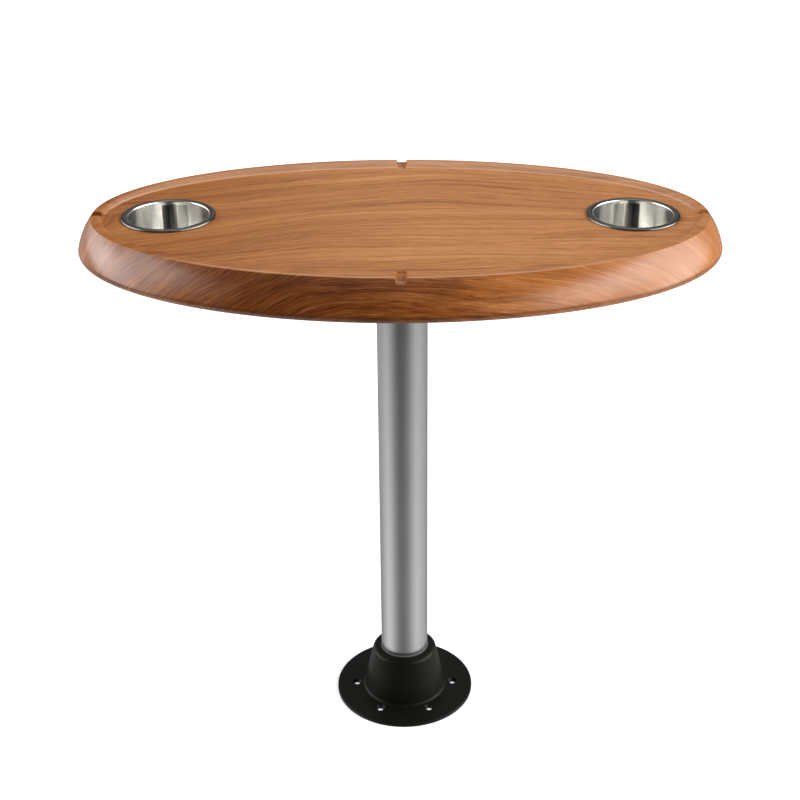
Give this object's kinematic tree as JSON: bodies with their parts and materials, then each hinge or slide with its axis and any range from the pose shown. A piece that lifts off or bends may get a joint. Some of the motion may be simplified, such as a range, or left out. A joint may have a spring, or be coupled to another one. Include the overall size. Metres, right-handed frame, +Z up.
{
  "type": "oval pedestal table",
  "caption": "Oval wood-grain table with a raised lip and drop-in steel cup holders, on a removable aluminium pedestal tube that plugs into a black floor socket.",
  "frame": {"origin": "on the floor, on the pedestal's axis, at the centre of the floor base's underside", "axes": "+Z up along the pedestal, +X along the oval top's long axis towards the right cup, +Y to the back"},
  "size_m": [0.762, 0.4572, 0.6928],
  "materials": {
    "woodgrain_skin": "satin moulded skin with a teak wood-grain film",
    "plywood": "raw plywood",
    "underside_plastic": "fine pebble grain, black",
    "screw_steel": "zinc plated",
    "stainless": "brushed round the cup, bright rim",
    "seal_rubber": "matt black foam rubber",
    "socket_plastic": "satin black moulding",
    "bush_nylon": "dark grey nylon",
    "tube_aluminium": "satin anodised"
  },
  "bodies": {
    "floor": {"floor_base": "socket_plastic"},
    "liner": {"floor_base_bush": "bush_nylon"},
    "pedestal": {"pedestal_tube": "tube_aluminium"},
    "top": {"tabletop_shell": "woodgrain_skin", "tabletop_core": "plywood", "edge_batten": "plywood", "centre_pad": "plywood", "underside_panel": "underside_plastic", "panel_screws": "screw_steel", "table_socket": "socket_plastic", "table_socket_bush": "bush_nylon", "table_socket_screws": "screw_steel"},
    "cup_left": {"left_cup": "stainless", "left_cup_gasket": "seal_rubber"},
    "cup_right": {"right_cup": "stainless", "right_cup_gasket": "seal_rubber"}
  },
  "joints": [
    {"name": "table_swivel", "type": "hinge", "parent": "floor", "child": "liner", "pos_m": [0, 0, 0.038], "axis": [0, 0, 1], "continuous": true},
    {"name": "pedestal_lift", "type": "slide", "parent": "liner", "child": "pedestal", "axis": [0, 0, 1], "range_m": [0, 0.08]},
    {"name": "top_lift", "type": "slide", "parent": "pedestal", "child": "top", "axis": [0, 0, 1], "range_m": [0, 0.08]},
    {"name": "left_cup_lift", "type": "slide", "parent": "top", "child": "cup_left", "axis": [0, 0, 1], "range_m": [0, 0.08]},
    {"name": "right_cup_lift", "type": "slide", "parent": "top", "child": "cup_right", "axis": [0, 0, 1], "range_m": [0, 0.08]}
  ]
}
